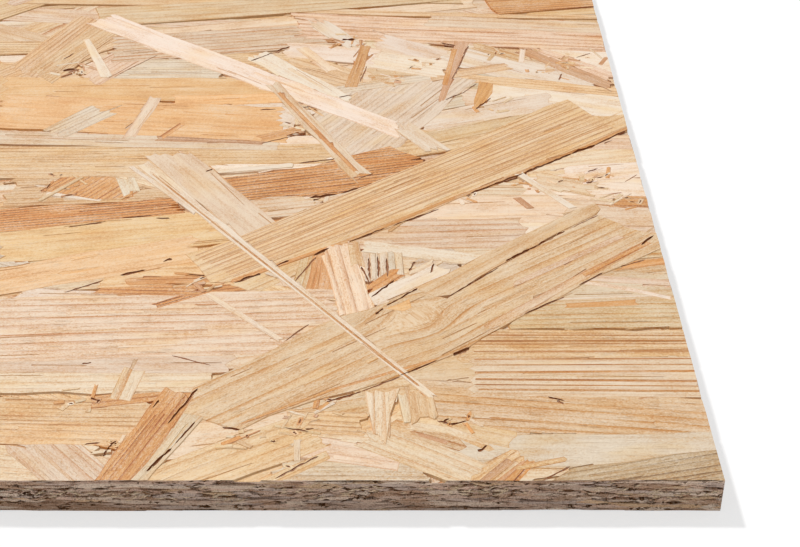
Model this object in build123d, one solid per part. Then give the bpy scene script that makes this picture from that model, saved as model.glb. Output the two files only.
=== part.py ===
from build123d import *
import os

# A sheet of oriented strand board: long softwood strands, pressed with resin into one
# flat mat and sawn to a rectangle. It is one piece of stock, so it is one solid.
# It lies flat. +X runs along its length, +Y across its width and +Z up through its
# thickness. The origin is in the middle of its underside.
# The relief of the strands, under a millimetre deep, isn't part of this solid.

# Sizes, in millimetres
sheet_length = 2440.0    # the long side, along which most strands of the faces run
sheet_width = 1220.0     # the short side, two bays of joists at 610 mm centres
sheet_thickness = 9.0    # the pressed mat, face to face
arris = 0.3              # the sharp sawn corner, broken by the brush behind the saw


def strand_board(length, width, thickness, broken_corner):
    """The trimmed sheet, with square sawn sides and its long corners just broken."""
    sheet = Box(length, width, thickness, align=(Align.CENTER, Align.CENTER, Align.MIN))
    underside = sheet.faces().sort_by(Axis.Z)[0]
    top_face = sheet.faces().sort_by(Axis.Z)[-1]
    face_corners = underside.edges() + top_face.edges()
    return chamfer(face_corners, broken_corner)


strand_board_sheet = strand_board(sheet_length, sheet_width, sheet_thickness, arris)

os.makedirs("parts", exist_ok=True)
export_step(strand_board_sheet, "parts/strand_board_sheet.step")
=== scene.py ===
import math

import bpy
import numpy as np
from mathutils.geometry import delaunay_2d_cdt
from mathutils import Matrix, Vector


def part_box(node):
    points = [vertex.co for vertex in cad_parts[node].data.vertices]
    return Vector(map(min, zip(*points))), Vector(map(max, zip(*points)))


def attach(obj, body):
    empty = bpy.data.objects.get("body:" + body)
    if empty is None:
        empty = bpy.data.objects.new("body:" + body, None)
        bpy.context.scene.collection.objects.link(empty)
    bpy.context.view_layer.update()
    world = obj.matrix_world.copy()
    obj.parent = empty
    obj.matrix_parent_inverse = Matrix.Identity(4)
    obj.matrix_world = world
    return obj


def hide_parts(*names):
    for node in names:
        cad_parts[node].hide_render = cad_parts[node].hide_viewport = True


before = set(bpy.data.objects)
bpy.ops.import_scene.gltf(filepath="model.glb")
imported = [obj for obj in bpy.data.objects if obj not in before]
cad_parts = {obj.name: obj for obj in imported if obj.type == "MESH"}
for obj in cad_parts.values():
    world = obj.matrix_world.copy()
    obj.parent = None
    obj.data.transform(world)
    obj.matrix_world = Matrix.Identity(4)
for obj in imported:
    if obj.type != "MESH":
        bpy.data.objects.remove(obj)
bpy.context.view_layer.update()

# The camera
# It looks down on the sheet's front right corner from close by, square to the front edge,
# as the photograph does. Its place is measured from that corner.
MM = 0.001
sheet_low, sheet_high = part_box("strand_board_sheet")
camera_above_face = 210.5 * MM
camera_before_edge = 237.5 * MM
camera_left_of_end = 70.0 * MM
camera_pitch_down = 33.5
picture_width_px = 800
focal_length_px = 1460

camera = bpy.data.cameras.new("camera")
camera.sensor_width = 36
camera.lens = camera.sensor_width * focal_length_px / picture_width_px
camera.clip_start = 10 * MM
camera_object = bpy.data.objects.new("camera", camera)
camera_object.location = (
    sheet_high[0] - camera_left_of_end,
    sheet_low[1] - camera_before_edge,
    sheet_high[2] + camera_above_face,
)
camera_object.rotation_euler = (math.radians(90 - camera_pitch_down), 0, 0)
bpy.context.collection.objects.link(camera_object)
bpy.context.scene.camera = camera_object

# The strands of the top face
# Pine flaked along its grain into strands about 100 mm long, tossed with resin and wax, shaken
# into a mat with most strands along the sheet, and pressed hot. Only the uppermost strands
# show. Lengths here are in millimetres, and a piece stays under 200,000 triangles.
half_length = sheet_high[0] / MM
half_width = sheet_high[1] / MM
most_triangles = 190000
mat_chance = np.random.default_rng(20)
knot_chance = np.random.default_rng(3)
no_knot = (-9000, -9000)


def linear(hex_colour):
    """The linear light of an sRGB colour, such as "#E8CBA4"."""
    parts = [int(hex_colour[i:i + 2], 16) / 255 for i in (1, 3, 5)]
    return [c / 12.92 if c <= 0.04045 else ((c + 0.055) / 1.055) ** 2.4 for c in parts]


def own_chance(place):
    """Draws that hang on a strand's own place, so that no other strand changes them."""
    return np.random.default_rng(abs(int(place)))


def heading(angle):
    """The direction at this angle from the sheet's length, in radians."""
    return np.array([math.cos(angle), math.sin(angle)])


def left_of(along):
    """The direction square to this one, on its left."""
    return np.array([-along[1], along[0]])


# Each kind of strand: its colour, the colour of its latewood rings, how strongly they show,
# their spacing in millimetres and how often the kind turns up
strand_kinds = {
    "cream": ("#EBD2B2", "#D99C58", 0.80, 2.6, 0.23),
    "golden": ("#E7C79D", "#CE9146", 1.15, 3.0, 0.14),
    "honey": ("#EEC692", "#DB9A52", 0.50, 2.6, 0.10),
    "tan": ("#E8C496", "#BC7C38", 1.20, 1.8, 0.14),
    "lined": ("#E8CBAD", "#CA8442", 1.30, 2.5, 0.07),
    "streaked": ("#EACAA6", "#C57C33", 1.60, 3.9, 0.05),
    "orange": ("#E0A564", "#AC5F1B", 1.30, 1.6, 0.06),
    "bark": ("#E09D56", "#84410C", 1.90, 1.2, 0.02),
    "pale": ("#F2DEC8", "#E0B286", 0.35, 2.3, 0.10),
    "grey": ("#E5D0B6", "#B48C62", 0.85, 1.8, 0.04),
    "pink": ("#ECD0B3", "#D0925F", 0.55, 2.4, 0.03),
    "rose": ("#D7A478", "#A0683A", 0.80, 1.5, 0.01),
    "olive": ("#C6A986", "#856038", 1.20, 1.9, 0.01),
    "amber": ("#EEBE82", "#D08B43", 0.50, 2.6, 0.00),
}
# An open gap and the lines in it are painted dark brown: painted shade deep in the gap, over its real
# lower place
gap_shade_colour, gap_shade_line_colour = "#97591F", "#6E4016"
kind_names = list(strand_kinds)
kind_chance = np.array([strand_kinds[k][4] for k in kind_names])
kind_chance = kind_chance / kind_chance.sum()


def foot_of(outline, reach):
    """The outline moved outwards by reach: where the strand's bevelled side meets what is below."""
    before = outline - np.roll(outline, 1, axis=0)
    after = np.roll(outline, -1, axis=0) - outline
    before = before / np.linalg.norm(before, axis=1, keepdims=True)
    after = after / np.linalg.norm(after, axis=1, keepdims=True)
    out_before = np.stack([before[:, 1], -before[:, 0]], axis=1)
    out_after = np.stack([after[:, 1], -after[:, 0]], axis=1)
    middle = out_before + out_after
    size = np.maximum((middle * middle).sum(axis=1), 0.8)
    return outline + middle * (2 * reach / size)[:, None]


def as_strand(outline, start, along, kind, chance, sink, reach, tilt=0.0, rings=1.0, tone=1.0,
              knot=None):
    """A strand's outline with what the press and the eye need to know about it. A knot is given
    by the place where the branch grew through."""
    # A void is an open gap, painted dark brown as the shade inside it
    if kind == "void":
        colour, line, strength, spacing = linear(gap_shade_colour), linear(gap_shade_line_colour), 0.3, 2.0
    else:
        plain, ring, strength, spacing, _ = strand_kinds[kind]
        shade = (1 + chance.normal(0, 0.045)) * tone
        colour = [min(c * shade * (1 + chance.normal(0, 0.012)), 1) for c in linear(plain)]
        line = linear(ring)
    along = np.array(along)
    across = left_of(along)
    strength = strength * rings * chance.uniform(0.6, 1.15)
    spacing = spacing * chance.uniform(0.8, 1.3)
    grain = chance.uniform(0, 4000, 2)
    knot = no_knot if knot is None else np.array(knot) - start
    return {
        "outline": outline,
        "foot": foot_of(outline, reach),
        "start": np.array(start, float),
        "along": along,
        "across": across,
        "sink": sink,
        "void": kind == "void",
        "tilt": tilt,
        "colour": colour,
        "line": line,
        "strength": strength,
        "spacing": spacing,
        "grain": grain,
        "knot": (knot @ along + grain[0], knot @ across + grain[1], 0),
    }


def strand(start, end, width, kind, chance, end_width=None, bow=0.0, slant=(0.0, 0.0),
           ragged=1.0, sink=0.2, teeth=2, step=45, wander=0.3, reach=0.3, tilt=0.0, rings=1.0,
           tone=1.0, frayed=0.0):
    """One strand from the middle of one end to the middle of the other, cut across at both."""
    start, end = np.array(start, float), np.array(end, float)
    length = float(np.linalg.norm(end - start))
    along = (end - start) / length
    across = left_of(along)
    end_width = width if end_width is None else end_width
    place = np.linspace(0, 1, max(2, round(length / step) + 1))
    half = (width + (end_width - width) * place) / 2
    drift = chance.normal(0, wander, (2, len(place))) * np.minimum(half / 3, 1)
    lift = 4 * bow * place * (1 - place)
    right = np.stack([place * length, lift - half + drift[0]], axis=1)
    left = np.stack([place * length, lift + half + drift[1]], axis=1)
    right[0, 0] -= slant[0] / 2
    left[0, 0] += slant[0] / 2
    right[-1, 0] -= slant[1] / 2
    left[-1, 0] += slant[1] / 2
    tooth = (np.arange(teeth) + chance.uniform(0.6, 1.4, teeth)) / (teeth + 1)
    far = right[-1] + tooth[:, None] * (left[-1] - right[-1])
    far[:, 0] += chance.normal(0, ragged, teeth)
    near = left[0] + tooth[:, None] * (right[0] - left[0])
    near[:, 0] += chance.normal(0, ragged, teeth)
    far[1::2, 0] -= frayed * chance.uniform(0.3, 1, len(far[1::2]))
    near[1::2, 0] += frayed * chance.uniform(0.3, 1, len(near[1::2]))
    local = np.concatenate([right, far, left[::-1], near])
    outline = start + local[:, :1] * along + local[:, 1:] * across
    return as_strand(outline, start, along, kind, chance, sink, reach, tilt, rings, tone)


def random_place(middle, coarse):
    """Where the forming line drops a strand over a spot: most lie along the sheet."""
    length = mat_chance.uniform(55, 140)
    widths = [mat_chance.uniform(*span) for span in ((3, 8), (8, 18), (16, 28))]
    width = coarse * mat_chance.choice(widths, p=[0.28, 0.45, 0.27])
    spread = mat_chance.choice([0.15, 0.6, 1.5], p=[0.45, 0.40, 0.15])
    along = heading(mat_chance.normal(0, spread))
    centre = middle + along * mat_chance.uniform(-0.45, 0.45) * length
    return length, width, along, centre + left_of(along) * mat_chance.uniform(-0.4, 0.4) * width


def random_strand(length, width, along, centre, reach, sink):
    """A strand like any other in the mat, of a random kind, with raggedly cut ends."""
    made = strand(
        centre - along * length / 2, centre + along * length / 2, width,
        mat_chance.choice(kind_names, p=kind_chance), mat_chance,
        end_width=width * mat_chance.uniform(0.45, 1.05),
        bow=mat_chance.normal(0, 0.012) * length, slant=mat_chance.normal(0, 0.3, 2) * width,
        ragged=0.8 + 0.06 * width, sink=sink, teeth=2 if width > 6 else 1, reach=reach,
        tilt=mat_chance.normal(0, 0.004),
    )
    if width > 14 and knot_chance.uniform() < 0.08:
        place = knot_chance.uniform((length * 0.2, -width * 0.4), (length * 0.8, width * 0.4))
        made["knot"] = (*(made["grain"] + place), 0)
    return made


# The strands that the photograph shows round the front right corner, in the order in which
# they fell. Each is laid from one end to the other: kind, from, to and width. Places are in
# millimetres from that corner: x is less than 0 to its left, y is from the front edge.
corner = np.array([half_length, -half_width])
laid = []
corner_reach = 0.22


def lay(kind, x1, y1, x2, y2, width, **more):
    """Lays one strand of the corner by the places of its two ends."""
    chance = own_chance(x1 * 131 + y1 * 17 + x2 * 7 + width * 3)
    more.setdefault("slant", chance.normal(0, 0.25, 2) * width)
    more.setdefault("frayed", chance.gamma(1.5, 0.9))
    laid.append(strand(
        corner + (x1, y1), corner + (x2, y2), width, kind, chance, step=9,
        teeth=max(1, round(width / 1.5)), ragged=more.pop("ragged", 0.5 + 0.03 * width),
        reach=more.pop("reach", corner_reach), **more,
    ))


def lay_shape(kind, grain_degrees, *places, **more):
    """Lays a strand of an odd shape by its outline, anticlockwise, and the way its grain runs."""
    outline = np.array(places, float)
    laid.append(as_strand(
        corner + outline, corner + outline[0], heading(math.radians(grain_degrees)), kind,
        own_chance(outline.sum() * 31), 0.2, corner_reach, **more,
    ))


def crevice(x1, y1, x2, y2, width):
    """A gap that stayed open under a strand's side: a sliver, widest in its middle, that lies lower
    and is painted dark brown, painted shade inside the gap.
    """
    a, b = corner + (x1, y1), corner + (x2, y2)
    along = (b - a) / np.linalg.norm(b - a)
    across = left_of(along) * width * 0.32
    chance = own_chance(x1 * 131 + y1 * 17)
    count = max(3, round(np.linalg.norm(b - a) / 1.3))
    spots = (np.arange(count) + chance.uniform(0.25, 0.75, count)) / count
    drift = chance.normal(0, 0.12, count)
    swell = np.maximum(chance.gamma(1.5, 0.55, (2, count)) + [drift, -drift[::-1]], 0.05).clip(0, 2)
    swell = swell * np.sin(math.pi * np.array([spots, spots[::-1]])) ** 0.35
    lower = [a + (b - a) * s - across * w for s, w in zip(spots, swell[0])]
    upper = [a + (b - a) * s + across * w for s, w in zip(spots[::-1], swell[1])]
    laid.append(as_strand(
        np.array([a, *lower, b, *upper]), a, along, "void", chance, 0.16 + width / 4, 0.1,
    ))


def chips(x, y, radius, count):
    """Crumbs of broken strand that filled a gap, lying all ways, with small gaps between them that are
    painted dark brown as painted shade.
    """
    chance = own_chance(x * 13 + y * 7)
    for _ in range(count):
        middle = corner + (x, y) + chance.normal(0, radius / 2, 2)
        half = heading(chance.normal(0, 0.9)) * chance.gamma(2, 0.8)
        kind = chance.choice(["tan", "cream", "orange", "pale", "golden", "rose"])
        laid.append(strand(
            middle - half, middle + half, chance.uniform(0.3, 1.3), kind, chance, step=4,
            wander=0.15, ragged=0.3, teeth=1, reach=0.12, rings=0.4,
        ))
        if chance.uniform() < 0.3:
            a, b = middle - half * 0.6, middle + half * 0.5
            crevice(*(a - corner), *(b - corner), chance.uniform(0.3, 0.8))


# Lowest strands, which show in the gaps between the others
lay("cream", -170, 8, -138, 4, 16)
lay("cream", -50, 3, -20, 3, 11)
lay("golden", -82, 32, -58, 36, 9)
lay("cream", -128, 44, -88, 52, 16)
lay("tan", -132, 211, -94, 206, 15)
lay("tan", -198, 196, -166, 234, 15)
lay("orange", -104, 229, -80, 230, 8)
lay("pale", -128, 137, -88, 142, 8)
lay("tan", -78, 149, -40, 160, 15)
lay("grey", -64, 178, -44, 186, 12)
lay("cream", -96, 199, -74, 201, 13)
lay("tan", -182, 123, -134, 127, 17)
lay("cream", -60, 91, -34, 94, 12)
lay("pale", -44, 103, -20, 106, 10)
lay("pink", -16, 103, 6, 103, 8)
lay("golden", -16, 89, 6, 91, 9)
lay("cream", -122, 113, -76, 122, 14)
lay("cream", -166, 77, -114, 84, 11)
lay("pale", -168, 70, -122, 66, 9)
lay("golden", -106, 80, -84, 66, 12)
lay("cream", -104, 15, -70, 12, 9)
lay("cream", -74, 20, -48, 16, 9)
lay("golden", -104, 18, -76, 27, 9)
lay("tan", -100, 21, -78, 19, 8)
lay("cream", -128, 12, -96, 18, 12)
lay("golden", -72, 18.5, -53, 12, 6)
lay("golden", -68, 36, -50, 38, 16, rings=0.4)
lay("orange", -66, 31, -51, 29, 5)
lay("pink", -120, 85, -85, 80, 14)
lay("cream", -60, 122, -26, 121, 14)
lay("pale", -34, 128, 4, 124, 12)
lay("grey", -70, 84, -55, 88, 12)
lay("orange", -118, 73.5, -104, 77, 6)
lay("golden", -112, 74, -92, 90, 9)
lay("golden", -95, 73, -93, 92, 6)
lay("orange", -90.5, 72, -89.5, 90, 7, rings=0.4)
lay("cream", -84, 84, -66, 84, 14)
lay("pale", -124, 178, -100, 166, 16)
lay("pale", -114, 153, -92, 153, 8)
lay("tan", -192, 200, -176, 244, 18)
lay("tan", -108, 208, -82, 192, 16)
lay("golden", -80, 199, -62, 199, 10)
lay("cream", -86, 226, -60, 222, 12)
lay("golden", -78, 219, -62, 210, 8)
lay("tan", -52, 216, -20, 210, 14)
lay("orange", -36, 214, -29, 209, 6)
lay("pale", -20, 214, 4, 206, 18)
lay("tan", -27, 218, -20, 197, 10)
lay("orange", -17, 208, -18, 194, 4)
lay("grey", -64, 186, -38, 196, 14)
lay("pink", -50, 183, -22, 178, 12)
lay("tan", -34, 186, -22, 176, 5)
lay("cream", -150, 137, -126, 124, 12)

# The right side, from the front edge backwards
lay("golden", -63, 26, 8, 17.5, 18, rings=1.3)
lay("grey", -60, 9.5, 6, 10.5, 11, rings=0.35)
lay("golden", -60, 18, -45, 13.5, 5, rings=0.5)
lay("tan", -56, -4, -43, 8, 7)
lay("rose", -54.5, -3, -46, 6.6, 1.5, bow=0.6, reach=0.15)
lay("tan", -52.5, -3, -44.4, 5.8, 1.2, bow=0.5)
lay("rose", -51, -3, -43, 5.8, 1.1, bow=0.6, reach=0.15)
lay("orange", -49, -3, -41.5, 6.4, 1.2, bow=0.5, rings=0.7)
lay("bark", -47, -3, -41.8, 4.6, 0.6)
lay("tan", -44, 4.2, -34, 7, 1.2)
lay_shape("olive", 14, (-40, -4), (8, -4), (8, 11), (0, 10), (-10, 8.5), (-20, 6), (-32, 4.2),
          (-37, 0))
lay("golden", -22, 79, 6, 85, 9)
lay("cream", -36, 71, 6, 73, 15, bow=1.5)
lay("golden", -42, 61.5, 6, 62.5, 11, rings=0.8)
lay("orange", -28, 66, -10, 67.5, 2.0, rings=0.3)
lay("pale", -38, 68.5, -3, 70.8, 0.8)
lay("orange", -13, 84, 5, 88, 2.6, rings=0.4)
lay("pale", -27, 77.5, -1, 69.5, 1.3, bow=1)
lay("pink", -24, 79, 4, 76, 2.5)
lay("tan", -54, 49, 8, 49, 13, rings=1.2)
lay("pink", -53, 36.5, 8, 36.5, 15, slant=(2, 0))
for y1, y2, width in ((53.4, 53.2, 0.35), (50.9, 51.1, 0.6), (49.6, 49.9, 0.25), (46.6, 46.9, 0.3),
                      (43.5, 43.8, 0.3), (41.2, 41.5, 0.25), (38.3, 39.0, 0.6), (35.7, 34.9, 0.6),
                      (31.8, 31.1, 0.55), (33.6, 33.0, 0.2)):
    lay("bark", -52, y1, 6, y2, width, rings=0.3, wander=0.12, reach=0.12, tone=0.78)
lay("pink", -68, 113, -10, 114, 14, rings=0.6)
lay("lined", -84, 100, -36, 101, 15, rings=1.3)
lay("pink", -24, 112, 6, 111, 13)
lay("orange", -10, 118, 5, 117, 6)
lay("cream", -34, 139, 6, 147, 15)
lay("pale", -22, 133, 6, 137, 9)
lay("cream", -31, 130, -14, 124.5, 8)
lay("pink", -20, 153, 6, 153, 9)

# The middle of the front, and the left side
lay("grey", -97, 2, -64, 2, 9)
lay("pink", -106, 14, -70, 7, 7)
lay("golden", -127, -5, -90, 17, 13, rings=0.5)
lay("golden", -100, -1.5, -86, 8.5, 2.4)
lay_shape("tan", -24, (-67.5, 16.4), (-66, 14.6), (-62, 12.2), (-57, 10), (-55.4, 11.2), (-57, 14),
          (-61, 15.8), (-65, 17.2), rings=1.5, tone=0.86)
lay("rose", -65.6, 15.4, -59.5, 12.6, 1.0, rings=0.6, reach=0.12)
lay("cream", -68, 18.6, -50.5, 11.4, 2.4, bow=1.8)
lay("cream", -77, 15.5, -53.5, 1.5, 9)
lay("lined", -152, 14, -133, -6, 13, rings=0.8)
lay("tan", -170, 16.5, -128, 15.5, 8)
lay("tan", -170, 25, -126, 23.5, 9)
lay("orange", -141, 27, -118, 31, 4)
lay("cream", -168, 36, -114, 36.5, 11)
lay("pink", -176, 42, -110, 42.5, 8)
lay("cream", -133, 39.5, -134.5, 28, 5)
lay("lined", -190, 55, -84, 60, 27, slant=(0, -5), rings=0.8)
lay("bark", -132, 66, -118, 74, 2)
lay("orange", -148, 74, -122, 73, 5)
lay("honey", -178, 95, -106, 106, 18)
lay("honey", -147, 80, -112, 82, 11, rings=1.4)
lay("orange", -140, 77, -114, 79, 3, rings=0.4)
lay("honey", -178, 76, -125, 93, 13)
lay("pale", -170, 124, -154, 120.5, 5)
lay_shape("orange", 56, (-172, 124), (-156, 119), (-146, 120.5), (-147, 126), (-153, 131.5),
          (-168, 132))
lay("pale", -150, 132, -146.5, 122, 5)
lay("bark", -190, 106, -131, 115.5, 13, end_width=8, rings=0.8)

# The back left
lay("golden", -190, 136, -138, 137.5, 10)
lay("tan", -195, 143, -88, 146, 11.5)
lay("pink", -195, 156, -106, 151.5, 8)
lay("rose", -144, 155.3, -111, 153, 3)
lay("amber", -198, 189, -108, 189, 17)
lay("amber", -142, 180, -101, 183, 7)
lay("amber", -198, 174, -106, 164, 22)
lay("grey", -176, 158, -163, 174, 10)
lay("pink", -152.5, 156, -148, 183, 3.6)
lay("orange", -142.5, 156, -137.5, 164.5, 1.8)
lay("orange", -113, 155, -99.5, 162.5, 3.6)
lay("tan", -188, 198, -170, 240, 12)
lay("grey", -166, 204, -128, 204, 14)
lay("pink", -172, 197, -152, 230, 13, rings=1.2)
lay("lined", -168, 219, -97.5, 231, 20, slant=(0, -4))
lay("lined", -106, 239, 6, 227, 21, rings=1.1)
lay("pink", -60, 243, 6, 236, 9)

# The back right
lay("pale", -78, 226, -49, 207, 13)
lay("pale", -54, 217, -6, 189, 17)
lay("golden", -45, 222, -29, 211, 5)
lay("pale", -42, 188, 6, 173, 15)
lay("tan", -55, 198, 6, 185.5, 6)
lay("pink", -23, 217.5, 0, 197, 6)
lay("rose", -28, 218, -2, 191, 4.5)
lay("pale", -28, 219.5, -29.5, 209, 1.6)
lay("tan", -64, 153.5, -30, 170, 8)
lay("pale", -66, 164, -22, 181, 11)
lay_shape("grey", 58, (-97, 170), (-90, 153), (-84, 143), (-76, 147), (-70, 150), (-66, 158),
          (-58, 171), (-53, 183), (-45, 195), (-55, 199), (-66, 195), (-80, 190), (-93, 186))
lay("grey", -95, 186.5, -58, 198.5, 4.6, rings=1.5)
lay("tan", -60, 197, -34, 206, 5)
lay("pale", -83, 213, -55, 203, 12)
lay("pale", -108, 219, -78, 213, 12)
lay("pink", -103.5, 220, -92.5, 202, 3.6)
lay("pale", -98.5, 241, -85, 221, 7)
lay("orange", -81.7, 222, -85.8, 190.5, 3.4, rings=0.4)
lay("rose", -48.7, 225, -56.8, 181, 4, end_width=1.6, rings=0.6)
lay("orange", -51.5, 219, -55.5, 192, 1.2, rings=0.4)
lay_shape("orange", 72, (-46.7, 173), (-43, 180), (-40.5, 186), (-40, 192.5), (-44, 194),
          (-45, 187), (-46.2, 181), rings=0.4)

for gap in (
    (-73, 198, 6, 16), (-11, 209, 8, 26), (-100, 176, 8, 22), (-93, 119, 3, 8), (-21, 201, 5, 12),
    (-36, 214, 4, 8), (-178, 203, 7, 14), (-64, 207, 5, 10), (-102, 161, 5, 10), (-95, 15, 6, 14),
    (-16, 130, 9, 18), (-8, 119, 6, 12), (-30, 127, 6, 10), (-52, 121, 5, 8), (-56, 19, 4, 8),
    (-90, 25, 6, 12), (-133, 11, 4, 10), (-144, 28, 4, 8), (-97, 184, 4, 8), (-40, 176, 6, 8),
    (-88, 226, 6, 12), (-120, 78, 5, 10), (-168, 128, 6, 8), (-106, 14, 4, 8),
):
    chips(*gap)

# The middle: bark side up, then the wide strands, the sticks on them and the pale ones on top
lay_shape("bark", 13, (-114, 118), (-107, 120.5), (-100, 121), (-92, 120), (-84, 124),
          (-72, 132), (-62, 138), (-64, 143), (-70, 147), (-73, 150), (-80, 146.5), (-88, 142.5),
          (-95, 138), (-103, 135.5), (-112, 133), (-121, 131), (-118, 123))
lay("pale", -127, 134, -102, 138.5, 2.2)
lay("orange", -127, 137.5, -119.5, 126, 2.4)
lay("pale", -80, 94, -47, 87, 5.5)
for x in (-79.2, -77, -74.6, -72.4, -70.4):
    lay("grey", x, 90.5, x + 0.6, 77, 1.7)
lay("orange", -78, 72.5, -70.5, 81, 4)
lay("pink", -67, 80.5, -60, 87, 3)
lay("pale", -78, 66, -58, 82, 7.5)
lay("pink", -139.5, 145, -104, 96, 12, slant=(6, 3), rings=0.35)
lay_shape("tan", 38.5, (-119, 76.5), (-113, 77), (-107, 80.5), (-100, 86), (-92, 90.5),
          (-83, 96.5), (-68, 107), (-50, 122.5), (-35, 133.5), (-20, 145), (-12, 150.5), (0, 161),
          (6, 166), (6, 172), (-6, 169.5), (-10, 170), (-16.5, 181), (-23, 177), (-40, 161.5),
          (-60, 142.5), (-80, 126), (-100, 110), (-113, 99), (-117, 96), (-127, 90), (-123, 84),
          tone=1.07)
for t in np.linspace(0.10, 0.94, 11):
    lay("rose", -112 - 13 * t, 78 + 12 * t, -3 - 15 * t, 160 + 18 * t, 0.2, wander=0.12, rings=0.3,
        reach=0.1)
for strip in ((-113, 77.4, -84, 96.6), (-86, 95.2, -51, 122.3), (-54, 119.6, -12, 151.2),
              (-14, 149.6, 6, 167)):
    lay("orange", *strip, 1.1, rings=0.6, end_width=0.9)
lay("pink", -87, 94, -80.5, 61.5, 7, end_width=9, rings=1.6)
lay("golden", -82.6, 95.5, -81, 84, 3)
lay_shape("golden", 38, (-120, 22), (-114, 20.5), (-110, 18.5), (-106, 17), (-100, 22),
          (-90, 27.5), (-80, 31.5), (-70, 37), (-60, 43.5), (-54.5, 47), (-50, 52), (-40, 61),
          (-30, 69), (-20, 78.5), (-10, 85.5), (0, 93), (6, 97), (5, 100), (-3, 101),
          (-8, 103.5), (-10, 106), (-15, 110), (-25, 101.5), (-35, 92), (-45, 83), (-50, 78),
          (-58, 69), (-62, 71), (-66, 74), (-72, 68), (-78, 64), (-85, 61), (-90, 57.5),
          (-100, 48), (-110, 39), (-115, 35), (-118, 33), tone=0.95, knot=corner + (-66, 61))
lay("orange", -106, 19, -85, 32, 0.5)
lay("orange", -85, 32, -62, 43, 0.5)
lay("streaked", -48, 56.5, -21, 80.5, 2.4)
lay("orange", -22, 80, -3, 96, 1.6)
lay("streaked", -40, 76, -10, 99, 1.8)
lay_shape("amber", 20, (-73.5, 64.6), (-69, 63.6), (-67.3, 65.2), (-67.8, 68.4),
          (-69.6, 66.8), rings=0.2)
lay_shape("golden", 43, (-66, 74), (-61, 70), (-56, 71), (-50, 78.5), (-45, 83.5),
          (-35, 92.5), (-30, 98), (-25, 102.5), (-15.5, 110.5), (-14, 113.5), (-15, 116.5),
          (-20, 113.5), (-30, 105), (-40, 96.5), (-50, 87.5), (-58, 80), rings=0.6)
lay("cream", -74.5, 31.5, -74.5, 14, 7, end_width=3)
lay("cream", -69, 30, -67.5, 20, 3)
lay("tan", -65.5, 31, -64.5, 20.5, 5.5, rings=0.5)
lay("cream", -129, -6, -117, 22, 4.5)
lay("orange", -135, -8, -121, 30.5, 7.6)
lay("pale", -35.5, 133.5, -21.5, 114, 2.2)
lay("pale", -119, 71, -99, 51, 1.6)
lay("pale", -178, 227, -166.5, 198, 1.6, end_width=4)
lay("pale", -118, 214, -88, 179.5, 8.5)
lay("pale", -69, 163, -58.5, 147.5, 7)
lay("pale", -176, 244, -70.5, 160.5, 11.5, end_width=8)
lay("cream", -111.5, 192.5, -81.5, 132, 4.2, end_width=5.6)
lay("orange", -109, 186, -83, 135, 1.0)
lay("pale", -149, 137.5, -127, 111, 1.2)
lay("pale", -146, 139.5, -62.5, 29, 3.6, end_width=1.8)
lay("golden", -142, 133, -66, 33.5, 0.2, rings=2)
lay("rose", -36.8, 119.6, -33.6, 114, 1.7)

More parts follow.
